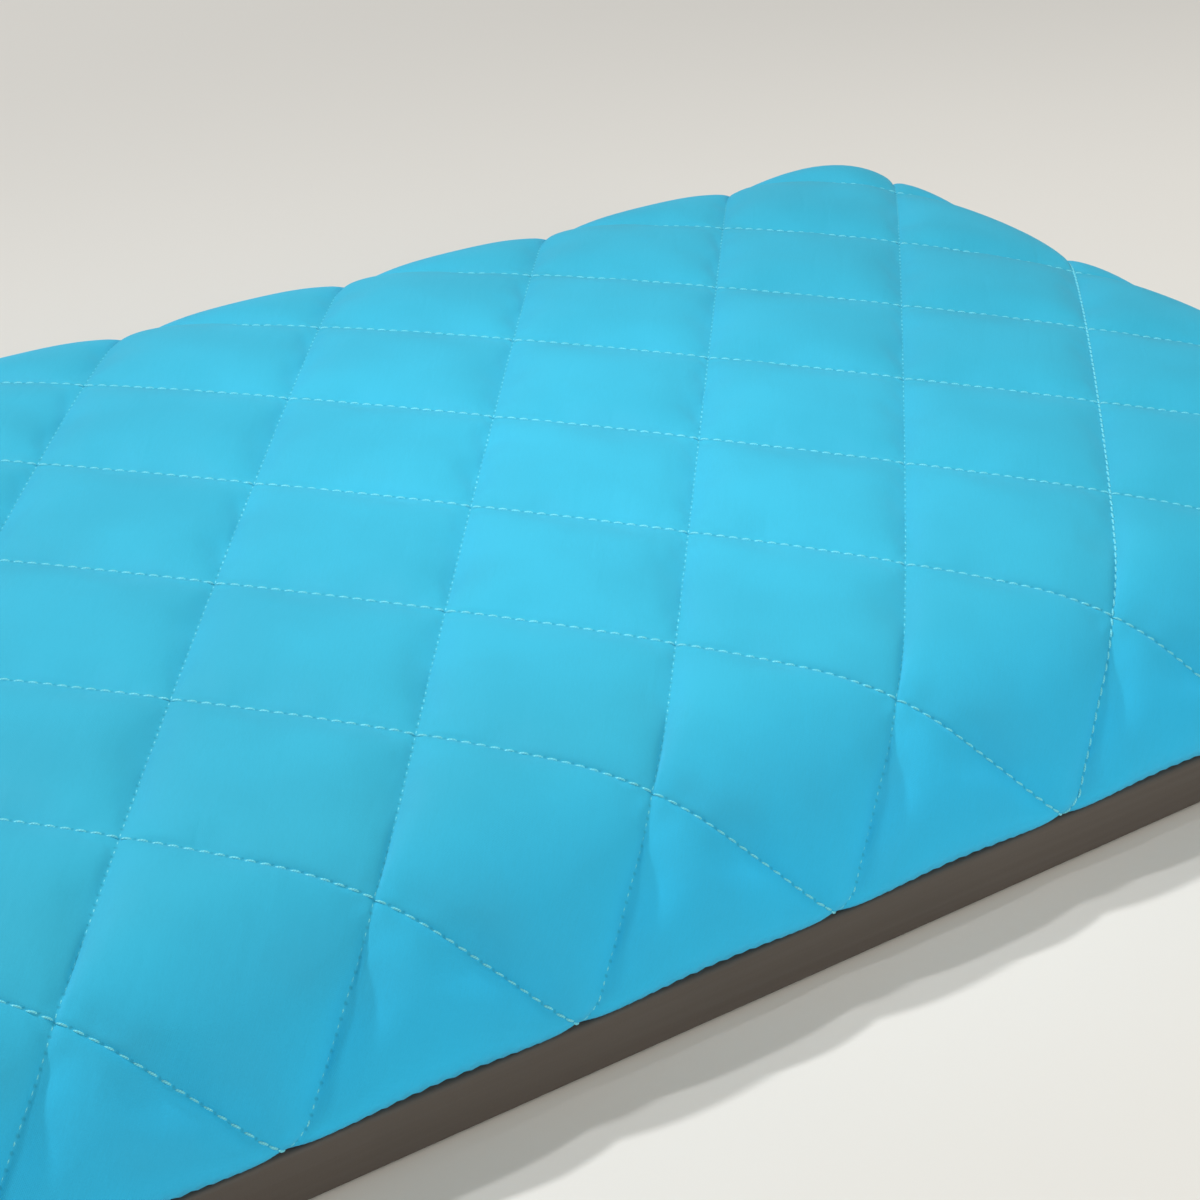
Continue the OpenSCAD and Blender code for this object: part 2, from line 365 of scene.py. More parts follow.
def new_piece(name, points, faces, smooth=True):
    """An object from points and faces, in the row frame."""
    mesh = bpy.data.meshes.new(name)
    mesh.from_pydata([tuple(p) for p in points], [], [tuple(f) for f in faces])
    mesh.validate()
    piece = bpy.data.objects.new(name, mesh)
    bpy.context.scene.collection.objects.link(piece)
    if smooth:
        mesh.shade_smooth()
    else:
        mesh.shade_flat()
    return piece


def seat(piece, material, slot, *nodes):
    """Gives a piece its material and body, and hides the CAD nodes that it stands for; slot is not used."""
    piece.data.materials.clear()
    piece.data.materials.append(material)
    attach(piece, BODY)
    if nodes:
        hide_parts(*nodes)
    return piece


def apply_modifiers(piece):
    """Replaces the piece's mesh with the one its modifiers make."""
    graph = bpy.context.evaluated_depsgraph_get()
    made = bpy.data.meshes.new_from_object(piece.evaluated_get(graph), depsgraph=graph)
    old = piece.data
    piece.modifiers.clear()
    piece.data = made
    made.name = piece.name
    bpy.data.meshes.remove(old)


def coordinates(mesh):
    """A mesh's points as an array."""
    points = np.empty(len(mesh.vertices) * 3, np.float32)
    mesh.vertices.foreach_get("co", points)
    return points.reshape(-1, 3).astype(float)


def set_coordinates(mesh, points):
    """Moves a mesh's points."""
    mesh.vertices.foreach_set("co", np.asarray(points, np.float32).ravel())
    mesh.update()


def mark_quilting(piece, a, b, q):
    """Keeps each vertex's seam counts and edge distance, which the fabric's finish reads."""
    layer = piece.data.attributes.new("quilting", "FLOAT_VECTOR", "POINT")
    layer.data.foreach_set("vector", np.stack([a, b, q], axis=1).astype(np.float32).ravel())


def crease_seams(piece, a, b, sharpness):
    """Keeps the seams' valleys narrow when the piece is subdivided."""
    mesh = piece.data
    ends = np.empty(len(mesh.edges) * 2, np.int32)
    mesh.edges.foreach_get("vertices", ends)
    ends = ends.reshape(-1, 2)
    on_seam = np.zeros(len(ends), bool)
    for count in (a, b):
        first, second = count[ends[:, 0]], count[ends[:, 1]]
        on_seam |= (from_seam(first) < ON_SEAM) & (np.abs(first - second) < ON_SEAM)
    layer = mesh.attributes.new("crease_edge", "FLOAT", "EDGE")
    layer.data.foreach_set("value", np.where(on_seam, sharpness, 0).astype(np.float32))


def shell(name, form, a, b, quads, outer, inner):
    """A closed layer of fabric between two surfaces over the same lattice."""
    count = len(a)
    walls = [(i, j, j + count, i + count) for j, i in open_edges(quads)]
    faces = np.concatenate([quads, quads[:, ::-1] + count]).tolist() + walls
    piece = new_piece(name, np.concatenate([outer, inner]), faces)
    u, v = form.fabric_at(a, b)
    q = form.edge_distance(u, v)[0]
    mark_quilting(piece, np.tile(a, 2), np.tile(b, 2), np.tile(q, 2))
    return piece


def outline_ring(half, radius, height, steps):
    """A rounded rectangle at one height, as points in turning order."""
    turns = (np.arange(4)[:, None] + np.linspace(0, 1, steps)[None, :]) * math.pi / 2
    signs = np.array([[1, 1], [-1, 1], [-1, -1], [1, -1]])
    middle = (half - radius)[None, None, :] * signs[:, None, :]
    ring = middle + radius * np.stack([np.cos(turns), np.sin(turns)], axis=-1)
    ring = ring.reshape(-1, 2)
    return np.column_stack([ring, np.full(len(ring), height)])


def stacked(first, count, levels):
    """The faces of a closed solid through a stack of rings with count points each."""
    faces = []
    for low in range(first, first + (levels - 1) * count, count):
        high = low + count
        faces += [(low + i, low + (i + 1) % count, high + (i + 1) % count, high + i) for i in range(count)]
    last = first + (levels - 1) * count
    return faces + [tuple(range(first + count - 1, first - 1, -1)), tuple(range(last, last + count))]


def loft(name, rings, smooth=True):
    """A closed piece through a stack of rings, from its bottom to its top."""
    return new_piece(name, np.concatenate(rings), stacked(0, len(rings[0]), len(rings)), smooth)


def cut_away(piece, cutters):
    """Takes the cutters' shapes out of a piece."""
    for cutter in cutters:
        cut = piece.modifiers.new("cut", "BOOLEAN")
        cut.operation = "DIFFERENCE"
        cut.solver = "EXACT"
        cut.object = cutter
        apply_modifiers(piece)
        bpy.data.objects.remove(cutter)


def turned(name, profile, places, sides=48):
    """A solid of revolution about an upright axis, once at each place, from radius and height pairs."""
    points, faces = [], []
    turns = [2 * math.pi * i / sides for i in range(sides)]
    for x, y in places:
        faces += stacked(len(points), sides, len(profile))
        for radius, height in profile:
            points += [(x + radius * math.cos(t), y + radius * math.sin(t), height) for t in turns]
    return new_piece(name, points, faces)


def grid_places(low, high, radius):
    """The six places of the T-nuts or the screws, from the box round all of them."""
    return [(x, y) for x in (low.x + radius, 0.0, high.x - radius) for y in (low.y + radius, high.y - radius)]


# ---------------------------------------------------------------- finishes


class Finish:
    """A material's nodes, with short calls for the ones that the finishes use."""

    def __init__(self, name, **surface):
        self.material = bpy.data.materials.new(name)
        self.material.use_nodes = True
        self.tree = self.material.node_tree
        self.surface = self.tree.nodes["Principled BSDF"]
        for socket, value in surface.items():
            self.set(socket.replace("_", " "), value)

    def feed(self, target, value):
        """Links a node's output to an input, or gives the input a plain value or colour."""
        if isinstance(value, bpy.types.NodeSocket):
            self.tree.links.new(value, target)
        else:
            target.default_value = (*value, 1.0) if target.type == "RGBA" else value

    def set(self, socket, value):
        """Feeds one of the surface's own inputs."""
        self.feed(self.surface.inputs[socket], value)

    def node(self, kind, inputs=None, **settings):
        """A new node with its settings and inputs."""
        made = self.tree.nodes.new("ShaderNode" + kind)
        for key, value in settings.items():
            setattr(made, key, value)
        for key, value in (inputs or {}).items():
            self.feed(made.inputs[key], value)
        return made

    def math(self, operation, *values):
        return self.node("Math", dict(enumerate(values)), operation=operation).outputs[0]

    def times(self, *values):
        return self.math("MULTIPLY", *values)

    def plus(self, *values):
        return self.math("ADD", *values)

    def place(self, stretch=(1, 1, 1)):
        """The piece's own coordinates in metres, stretched per axis."""
        source = self.node("TexCoord").outputs["Object"]
        return self.node("Mapping", {"Vector": source, "Scale": stretch}).outputs[0]

    def noise(self, vector, scale, detail=2.0, roughness=0.5, distortion=0.0):
        made = self.node("TexNoise", {
            "Vector": vector, "Scale": scale, "Detail": detail, "Roughness": roughness,
            "Distortion": distortion})
        return made.outputs["Fac"]

    def between(self, value, low, high, out_low=0.0, out_high=1.0):
        """Carries value's range low to high over to another range, smoothly and clamped."""
        made = self.node("MapRange", {
            "Value": value, "From Min": low, "From Max": high, "To Min": out_low, "To Max": out_high},
            interpolation_type="SMOOTHSTEP")
        return made.outputs["Result"]

    def mixed(self, factor, first, second):
        """A mix of two colours."""
        made = self.node("Mix", {"Factor": factor}, data_type="RGBA")
        for socket, value in (("A", first), ("B", second)):
            self.feed(next(i for i in made.inputs if i.name == socket and i.type == "RGBA"), value)
        return next(o for o in made.outputs if o.type == "RGBA")

    def toned(self, factor, rgb, dark, light):
        """A mix of a darker and a lighter tone of one colour."""
        return self.mixed(factor, shade(rgb, dark), shade(rgb, light))

    def relief(self, height, strength=1.0):
        """Bump from a height in metres."""
        made = self.node("Bump", {"Height": height, "Distance": 1.0, "Strength": strength})
        self.set("Normal", made.outputs[0])


def shade(rgb, factor):
    """A lighter or darker tone of a colour."""
    return tuple(min(1.0, c * factor) for c in rgb)


def cover_finish(pad):
    """Close-woven microfibre with needle holes along its seams; its colour holds painted light on the sides
    and painted shade at the seams and needle holes.
    """
    # Painted light: side is the cover's colour made bluer and brighter for the sides.
    top, side = tuple(pad.finishes.cover), tuple(pad.finishes.cover_side_painted_light)
    quilting = pad.quilting
    finish = Finish(
        "quilted_microfibre", Specular_IOR_Level=0.3, Sheen_Weight=0.16, Sheen_Roughness=0.45,
        Sheen_Tint=(0.45, 0.86, 1.0))
    source = finish.node("Attribute", attribute_name="quilting").outputs["Vector"]
    split = finish.node("SeparateXYZ", {"Vector": source})
    a, b = split.outputs["X"], split.outputs["Y"]
    # Painted light: how far the colour has gone from the sides' painted-light copy to the top's colour, by
    # distance up from the lower edge.
    painted_light_top_share = finish.between(split.outputs["Z"], 12 * MM, 58 * MM)
    square_mm = quilting.square / MM
    pitch_mm = square_mm / quilting.stitches
    yarn_mm = 0.42
    quilt_mm = finish.node("VectorMath", {0: source, "Scale": square_mm}, operation="SCALE").outputs[0]

    def from_whole(value, scale):
        """Distance in millimetres to the nearest whole number."""
        return finish.times(finish.math("PINGPONG", value, 0.5), scale)

    def needle_hole_dimples_and_shade(seam_distance, along):
        """The holes at the stitches' ends, from 0 to 1, which give the painted shade in the colour and the
        dimples in the relief.
        """
        step = from_whole(finish.times(along, float(quilting.stitches)), pitch_mm)
        squares = finish.plus(finish.times(seam_distance, seam_distance), finish.times(step, step))
        return finish.between(finish.math("SQRT", squares), 0.1, 0.5, 1.0, 0.0)

    def stretched(stretch, turn=0.0):
        """The fabric's own coordinates in millimetres, stretched and turned."""
        settings = {"Vector": quilt_mm, "Rotation": (0, 0, turn), "Scale": stretch}
        return finish.node("Mapping", settings).outputs[0]

    to_a, to_b = from_whole(a, square_mm), from_whole(b, square_mm)
    holes = finish.math("MAXIMUM", needle_hole_dimples_and_shade(to_a, b), needle_hole_dimples_and_shade(to_b, a))
    # Painted shade: the fabric is darkened slightly close to each seam's valley.
    seam = finish.between(finish.math("MINIMUM", to_a, to_b), 0.2, 2.4, 1.0, 0.0)
    slub = finish.noise(stretched((0.35, 3.2, 0.0)), 1.0)
    fleck = finish.noise(quilt_mm, 2.2, 3.0, 0.7)
    cloud = finish.noise(quilt_mm, 0.035, 2.0)
    crease = finish.noise(stretched((0.05, 0.22, 0.0), 0.6), 1.0, 1.0, 0.5, 0.6)
    tone = finish.plus(finish.times(slub, 0.5), finish.times(fleck, 0.5))
    patches = finish.plus(finish.times(tone, 0.4), finish.times(cloud, 0.6))
    lighter = finish.between(patches, 0.35, 0.65)
    # Painted light: the sides' copy of the fabric colour is tinted for the light on them, then blended into
    # the top's colour.
    side_cloth_painted_light, top_cloth = (finish.toned(lighter, rgb, 0.96, 1.04) for rgb in (side, top))
    cloth = finish.mixed(painted_light_top_share, side_cloth_painted_light, top_cloth)
    # Painted shade: the colour goes toward half the cover's top colour at the seams and, more, in the needle
    # holes.
    stitch_tucks_and_seam_shade = finish.plus(finish.times(seam, 0.05), finish.times(holes, 0.3))
    finish.set("Base Color", finish.mixed(stitch_tucks_and_seam_shade, cloth, shade(top, 0.5)))
    finish.set("Roughness", finish.between(cloud, 0.25, 0.75, 0.62, 0.74))
    # Relief: the weave, fine creases, and the fabric drawn down at each needle hole.
    yarns = 2 * math.pi * square_mm / yarn_mm
    warp, weft = (finish.math("SINE", finish.times(count, yarns)) for count in (a, b))
    height = finish.plus(finish.times(finish.times(warp, weft), 0.012 * MM), finish.times(fleck, 0.05 * MM))
    height = finish.plus(height, finish.times(crease, 0.2 * MM))
    height = finish.math("SUBTRACT", height, finish.times(holes, 0.1 * MM))
    finish.relief(height, 0.8)
    return finish.material


def thread_finish(pad):
    """Twisted polyester thread."""
    base = tuple(pad.finishes.thread)
    finish = Finish("quilting_thread", Roughness=0.34, Specular_IOR_Level=0.55, Sheen_Weight=0.1)
    source = finish.node("Attribute", attribute_name="strand").outputs["Vector"]
    split = finish.node("SeparateXYZ", {"Vector": source})
    turn = finish.plus(finish.times(split.outputs["X"], 12.0), finish.times(split.outputs["Y"], 2.0))
    twist = finish.math("SINE", turn)
    # Partly painted highlight: the thread's base colour is lighter than the fabric, partly for the glints it
    # would catch.
    finish.set("Base Color", finish.toned(finish.between(twist, -1.0, 1.0), base, 0.86, 1.08))
    finish.relief(finish.times(twist, 0.03 * MM))
    return finish.material


def plain_cloth_finish(name, rgb, fibre_mm, depth_mm, roughness):
    """Wadding, lining or foam: a fine random texture in the piece's own space."""
    finish = Finish(name, Roughness=roughness, Specular_IOR_Level=0.2, Sheen_Weight=0.1)
    fine = finish.noise(finish.place(), 1 / (fibre_mm * MM), 4.0, 0.65)
    wide = finish.noise(finish.place(), 12.0, 2.0)
    tone = finish.toned(finish.between(fine, 0.3, 0.7), rgb, 0.82, 1.06)
    finish.set("Base Color", finish.mixed(finish.times(wide, 0.2), tone, shade(rgb, 0.9)))
    finish.relief(finish.times(fine, depth_mm * MM))
    return finish.material


def plate_finish(pad):
    """Matt moulded plastic with a fine spark-eroded grain and faint scuffs."""
    base = tuple(pad.finishes.plate)
    finish = Finish("moulded_plate", Roughness=0.58, Specular_IOR_Level=0.35)
    grain = finish.noise(finish.place(), 1500.0, 3.0, 0.6)
    cloud = finish.noise(finish.place(), 9.0, 3.0)
    streak = finish.noise(finish.place((3.0, 3.0, 160.0)), 3.0, 3.0, 0.6)
    tone = finish.toned(finish.between(cloud, 0.3, 0.7), base, 0.93, 1.07)
    finish.set("Base Color", finish.mixed(finish.times(grain, 0.16), tone, shade(base, 1.35)))
    finish.set("Roughness", finish.between(streak, 0.3, 0.7, 0.52, 0.66))
    finish.relief(finish.times(grain, 0.035 * MM))
    return finish.material


def rubber_finish(pad):
    """Dull black rubber."""
    finish = Finish("foot_rubber", Roughness=0.75)
    fine = finish.noise(finish.place(), 900.0, 3.0, 0.6)
    finish.set("Base Color", finish.toned(fine, tuple(pad.finishes.rubber), 0.8, 1.9))
    finish.relief(finish.times(fine, 0.05 * MM))
    return finish.material


def steel_finish():
    """Bright zinc plating, slightly uneven."""
    finish = Finish("zinc_plate", Metallic=1.0, Roughness=0.34)
    cloud = finish.noise(finish.place(), 400.0, 3.0, 0.6)
    finish.set("Base Color", finish.mixed(cloud, (0.50, 0.51, 0.52), (0.66, 0.66, 0.65)))
    finish.set("Roughness", finish.between(cloud, 0.3, 0.7, 0.28, 0.46))
    return finish.material


def ply_finish():
    """Sanded birch plywood, with its plies in the edges."""
    finish = Finish("birch_plywood", Roughness=0.62)
    pale, warm, glue, two_plies = (0.72, 0.54, 0.33), (0.50, 0.33, 0.18), (0.36, 0.22, 0.11), 2.4 * MM
    grain = finish.noise(finish.place((9.0, 120.0, 60.0)), 2.5, 5.0, 0.6, 0.4)
    height = finish.node("SeparateXYZ", {"Vector": finish.place()}).outputs["Z"]
    ply = finish.math("SINE", finish.times(height, 2 * math.pi / two_plies))
    wood = finish.mixed(finish.between(grain, 0.3, 0.7), warm, pale)
    finish.set("Base Color", finish.mixed(finish.between(ply, -0.2, 0.4, 0.0, 0.35), wood, glue))
    finish.relief(finish.times(grain, 0.12 * MM))
    return finish.material


# ---------------------------------------------------------------- pieces


def swell(piece, pinned, growth, cap):
    """Blows the cover up between its seams by cloth simulation, and keeps the result in its mesh."""
    scene = bpy.context.scene
    group = piece.vertex_groups.new(name="seams")
    group.add([int(i) for i in np.nonzero(pinned)[0]], 1.0, "REPLACE")
    start = coordinates(piece.data)
    cloth = piece.modifiers.new("swelling", "CLOTH")
    settings = cloth.settings
    settings.quality = 6
    settings.mass = 0.0004
    settings.air_damping = 1.0
    settings.tension_stiffness = 12
    settings.compression_stiffness = 8
    settings.shear_stiffness = 3
    settings.bending_stiffness = 0.02
    settings.use_pressure = True
    settings.uniform_pressure_force = 14
    settings.shrink_min = -growth
    settings.vertex_group_mass = group.name
    settings.effector_weights.gravity = 0
    cloth.collision_settings.use_collision = False
    last = 20
    cloth.point_cache.frame_start, cloth.point_cache.frame_end = 1, last
    for number in range(1, last + 1):
        scene.frame_set(number)
    graph = bpy.context.evaluated_depsgraph_get()
    moved = coordinates(piece.evaluated_get(graph).data) - start
    far = np.linalg.norm(moved, axis=1)
    moved *= np.minimum(1, cap / np.maximum(far, TINY))[:, None]
    piece.modifiers.clear()
    piece.vertex_groups.clear()
    scene.frame_set(1)
    set_coordinates(piece.data, start + moved)


def thin_inside(piece, share):
    """Coarsens the hidden surface that the "inside" attribute marks, down to a share of all the faces."""
    mesh = piece.data
    inside = np.empty(len(mesh.vertices), np.float32)
    mesh.attributes["inside"].data.foreach_get("value", inside)
    group = piece.vertex_groups.new(name="inside")
    wholly = 0.9
    group.add([int(i) for i in np.nonzero(inside > wholly)[0]], 1.0, "REPLACE")
    thinner = piece.modifiers.new("thinner", "DECIMATE")
    thinner.ratio = share
    thinner.vertex_group = group.name
    apply_modifiers(piece)
    piece.vertex_groups.clear()
    piece.data.attributes.remove(piece.data.attributes["inside"])


def keep_off_plate(points, q):
    """Fabric under the pad lies flat on the base plate."""
    floor = COVER_LOW.z + 0.02 * MM
    low = (q < 2 * MM) & (points[:, 2] < floor)
    points[low, 2] = floor
    return points


def make_cover(pad):
    """The quilted face fabric, from the flat cut to the swollen and hemmed cover."""
    form, quilting = Form(pad.shape, pad.quilting), pad.quilting
    a, b, quads = fabric_lattice(form, quilting.steps)
    u, v = form.fabric_at(a, b)
    q = form.edge_distance(u, v)[0]
    fullness = puff(a, b) * ease(q, -5 * MM, 4 * MM)
    folds = gathers(form, u, v, quilting.gathers)
    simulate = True
    share = 0.78 if simulate else 1.0  # the simulation adds the rest of the puffs' height
    stitch_tucks_and_seam_shade = tucks(a, b, quilting) * ease(q, 0, 4 * MM)
    points, normals, _ = form.place(u, v, quilting.puff_height * share * fullness + folds - stitch_tucks_and_seam_shade)
    cover = new_piece("quilt_face_cover", keep_off_plate(points, q), quads.tolist())
    if simulate:
        on_seam = (from_seam(a) < ON_SEAM) | (from_seam(b) < ON_SEAM)
        swell(cover, on_seam | (q < 0.5 * MM), growth=0.009, cap=1.6 * MM)
        points = keep_off_plate(coordinates(cover.data), q)
    thickness = 0.5
    inner = points - normals * thickness * MM
    bpy.data.objects.remove(cover)
    cover = shell("quilt_face_cover", form, a, b, quads, points, inner)
    crease_seams(cover, np.tile(a, 2), np.tile(b, 2), sharpness=0.8)
    smoother = cover.modifiers.new("smoother", "SUBSURF")
    smoother.levels = smoother.render_levels = 1
    inside = cover.data.attributes.new("inside", "FLOAT", "POINT")
    inside.data.foreach_set("value", np.repeat([0.0, 1.0], len(a)))
    apply_modifiers(cover)
    thin_inside(cover, share=0.55)
    seat(cover, cover_finish(pad), "quilt_face", "quilt_face")


def seam_lines(form):
    """Each seam as its fixed count, the running count's range, and whether the fixed count is a."""
    reach = (form.fabric_reach[0] + form.fabric_reach[1]) / (2 * form.half_diagonal)
    middle_a, middle_b = form.squares_at(0.0, 0.0)
    for fixed_middle, run_middle, a_fixed in ((middle_a, middle_b, True), (middle_b, middle_a, False)):
        for fixed in range(math.floor(fixed_middle - reach), math.ceil(fixed_middle + reach) + 1):
            yield fixed, math.floor(run_middle - reach), math.ceil(run_middle + reach), a_fixed


def seam_stitches(form, stitches, fixed, low, high, a_fixed):
    """The middles, directions and normals of one seam's stitches, as far as the lower edge."""
    count = (high - low) * stitches
    held = np.full(count, float(fixed))

    def at(running):
        counts = (held, running) if a_fixed else (running, held)
        return form.place(*form.fabric_at(*counts), np.zeros(count))

    run = low + (np.arange(count) + 0.5) / stitches
    middles, normals, q = at(run)
    ends = at(run + 0.5 / stitches)[0]
    seen = q > 0.2 * MM
    return middles[seen], (ends - middles)[seen], normals[seen]


def make_stitches(pad):
    """Every visible stitch of the quilting as a short bowed strand that dips into its needle holes."""
    form, quilting = Form(pad.shape, pad.quilting), pad.quilting
    cover = bpy.data.objects["quilt_face_cover"]
    surface = BVHTree.FromObject(cover, bpy.context.evaluated_depsgraph_get())
    pitch = quilting.square / quilting.stitches
    along = np.array([-0.41, -0.32, -0.17, 0.0, 0.17, 0.32, 0.41]) * pitch
    above = np.array([-0.55, -0.15, 0.12, 0.2, 0.12, -0.15, -0.55]) * quilting.thread
    width = np.array([0.6, 0.95, 1.1, 1.15, 1.1, 0.95, 0.6]) * quilting.thread / 2
    reach, wander = 3 * MM, 0.035
    sides = 6
    ring = [2 * math.pi * k / sides for k in range(sides)]
    points, faces, strand = [], [], []
    random = np.random.default_rng(7)
    for fixed, low, high, a_fixed in seam_lines(form):
        sunk = 0.0 if a_fixed or fixed >= quilting.loose_from else quilting.sink
        laid = seam_stitches(form, quilting.stitches, fixed, low, high, a_fixed)
        for middle, forward, normal in zip(*laid):
            middle, forward, normal = Vector(middle), Vector(forward), Vector(normal)
            spot = surface.ray_cast(middle + normal * reach, -normal, 2 * reach)[0]
            if spot is None:
                continue
            spot -= normal * sunk
            forward = (forward - normal * forward.dot(normal)).normalized()
            forward = Matrix.Rotation(quilting.slant + random.normal(0, wander), 3, normal) @ forward
            side = normal.cross(forward)
            first = len(points)
            for s, h, w in zip(along, above, width):
                centre = spot + forward * s + normal * h
                points += [centre + side * (w * math.cos(t)) + normal * (w * math.sin(t)) for t in ring]
                strand += [(s / MM, t, 0.0) for t in ring]
            for base in range(first, len(points) - sides, sides):
                faces += [(base + k, base + sides + k, base + sides + (k + 1) % sides, base + (k + 1) % sides)
                          for k in range(sides)]
            faces.append(tuple(range(first, first + sides)))
            faces.append(tuple(range(len(points) - 1, len(points) - sides - 1, -1)))
    stitches = new_piece("quilting_stitches", points, faces)
    layer = stitches.data.attributes.new("strand", "FLOAT_VECTOR", "POINT")
    layer.data.foreach_set("vector", np.array(strand, np.float32).ravel())
    seat(stitches, thread_finish(pad), "quilt_face")


def make_layers(pad):
    """The wadding and the lining that are quilted to the face."""
    form, quilting = Form(pad.shape, pad.quilting), pad.quilting
    a, b, quads = fabric_lattice(form, 6)
    u, v = form.fabric_at(a, b)
    q = form.edge_distance(u, v)[0]
    fullness = puff(a, b) * ease(q, 4 * MM, 14 * MM)
    folded = quilting.gathers * gather_zone(form, u, v)[0]

    def surface(under, share):
        """A surface that keeps under the cover's seams and folds, and rises by a share of the puffs."""
        lift = quilting.puff_height * share * fullness - under - folded
        return keep_off_plate(form.place(u, v, lift)[0], q)

    def make_layer(name, outer, inner, fill, rgb, **texture):
        """One layer between an outer and an inner surface."""
        layer = shell(f"quilt_{name}_layer", form, a, b, quads, outer, inner)
        seat(layer, plain_cloth_finish(f"quilt_{name}_cloth", rgb, **texture), name, f"quilt_{name}")

    make_layer(
        "wadding", outer=surface(1.2 * MM, 0.45), inner=surface(1.5 * MM, -0.2), fill=0.4,
        rgb=(0.82, 0.82, 0.80), fibre_mm=0.5, depth_mm=0.4, roughness=0.95)
    make_layer(
        "lining", outer=surface(1.6 * MM, -0.2), inner=surface(1.9 * MM, -0.2), fill=0.1,
        rgb=(0.62, 0.66, 0.68), fibre_mm=0.35, depth_mm=0.12, roughness=0.85)


def form_ring(form, q, under, steps=14):
    """A level ring round the form, under its surface."""
    inset, height, slope = (float(x[0]) for x in form.profile(np.array([q])))
    inset += under * math.sin(slope)
    height -= under * math.cos(slope)
    return outline_ring(form.half - inset, form.shape.corner_radius - inset, COVER_LOW.z + height, steps)


def make_foams(pad):
    """The firm foam on the board and the soft foam that crowns it."""
    form = Form(pad.shape, pad.quilting)
    corner = form.shape.corner_radius
    under = 3.6 * MM
    split = form.q_side + form.shape.shoulder_radius * (form.shape.side_slope - math.radians(36))
    low_inset = form.half[0] - FIRM_HIGH.x + 0.3 * under
    rings = [form_ring(form, q, under) for q in np.linspace(form.q_bend + 7 * MM, split, 6)]
    rings = [ring for ring in rings if ring[0][2] >= FIRM_LOW.z]
    rings.insert(0, outline_ring(form.half - low_inset, corner - low_inset, FIRM_LOW.z, 14))
    firm = loft("firm_foam_block", rings)
    flange = 8 * MM
    pocket = flange + 0.2 * MM
    nuts = grid_places(NUTS_LOW, NUTS_HIGH, flange)
    ends = FIRM_LOW.z - 2 * MM, NUTS_HIGH.z + 0.1 * MM
    cut_away(firm, [turned("pockets", [(pocket, end) for end in ends], nuts)])
    seat(firm, plain_cloth_finish("firm_foam", (0.40, 0.44, 0.49), 0.8, 0.25, 0.9), "firm_foam", "firm_foam")

    floor_ring = rings[-1] + np.array([0, 0, 0.1 * MM])
    rim = form.q_corner - 2 * MM
    rings = [floor_ring] + [form_ring(form, q, under) for q in np.linspace(split + 1.5 * MM, rim, 7)]
    edge = rings[-1]
    for share in (0.85, 0.7, 0.55, 0.4, 0.25, 0.1):
        inset = corner + (form.half[1] - corner) * (1 - share)
        height = COVER_LOW.z + float(form.crown(np.array([inset]))[0][0]) - under
        rings.append(np.column_stack([edge[:, :2] * share, np.full(len(edge), height)]))
    soft = loft("soft_foam_crown", rings)
    seat(soft, plain_cloth_finish("soft_foam", (0.86, 0.79, 0.52), 1.1, 0.35, 0.92), "soft_foam", "soft_foam")


def make_board(pad):
    """Materials for the board and its fasteners, whose CAD shapes stay."""
    steel = steel_finish()
    finishes = {"backing_board": ply_finish(), "staples": steel, "t_nuts": steel, "base_screws": steel}
    for node, finish in finishes.items():
        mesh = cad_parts[node].data
        mesh.materials.clear()
        mesh.materials.append(finish)


def make_plate(pad):
    """The moulded base plate: rounded edges, raised middle, staple channel, shallow field and sockets."""
    half = np.array([PLATE_HIGH.x, PLATE_HIGH.y])
    inset = COVER_HIGH.x - PLATE_HIGH.x
    radius = pad.shape.corner_radius - inset
    low, lip, high = PLATE_LOW.z, COVER_LOW.z, PLATE_HIGH.z

    def ring(distance, height):
        return outline_ring(half - distance, radius - distance, height, 24)

    def rounded(distance, height, size, start, end):
        """Rings round an edge of the given radius, between two directions in degrees."""
        turns = np.radians(np.linspace(start, end, 5))
        return [ring(distance - size * math.cos(t), height + size * math.sin(t)) for t in turns]

    bottom_edge, top_edge, middle_edge = 1.4 * MM, 1.1 * MM, 0.6 * MM
    channel, channel_depth = 9 * MM - inset, 0.8 * MM
    middle = pad.shape.hem_width + 2 * MM - inset
    rings = rounded(bottom_edge, low + bottom_edge, bottom_edge, -90, 0)
    rings += rounded(top_edge, lip - top_edge, top_edge, 0, 90)
    rings += [ring(channel - 0.4 * MM, lip), ring(channel, lip - 0.1 * MM)]
    rings += [ring(channel + 0.3 * MM, lip - channel_depth), ring(middle - 0.5 * MM, lip - channel_depth)]
    rings += [ring(middle, lip - channel_depth + 0.4 * MM)]
    rings += rounded(middle + middle_edge, high - middle_edge, middle_edge, 0, 90)
    plate = loft("moulded_base_plate", rings, smooth=False)

    beyond = 2 * MM
    foot_low, foot_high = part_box(FEET[0])
    fit = (foot_high.x - foot_low.x) / 2 + 0.05 * MM
    mouth = fit + 0.55 * MM
    feet = [((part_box(node)[0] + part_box(node)[1]) / 2).xy for node in FEET]
    sockets = turned("sockets", [
        (mouth, low - beyond), (mouth, low), (fit, low + 0.6 * MM), (fit, foot_high.z)], feet)
    head, shank = 4.0 * MM, 2.15 * MM
    screws = grid_places(SCREWS_LOW, SCREWS_HIGH, head)
    sinks = turned("sinks", [
        (head + 0.5 * MM, low - beyond), (head + 0.5 * MM, low), (head + 0.15 * MM, low + 0.25 * MM),
        (shank, low + 2.15 * MM), (shank, high + beyond)], screws)
    margin, corner, depth, draft = 74 * MM, 12 * MM, 1.5 * MM, 0.6 * MM
    field_half = np.array([COVER_HIGH.x, COVER_HIGH.y]) - margin
    field = loft("field", [
        outline_ring(field_half + wider, corner + wider, height, 12)
        for wider, height in ((draft, low - beyond), (draft, low), (0, low + depth))])
    cut_away(plate, [sockets, sinks, field])
    plate.data.shade_smooth()
    plate.data.set_sharp_from_angle(angle=math.radians(32))
    seat(plate, plate_finish(pad), "base_plate", "base_plate")


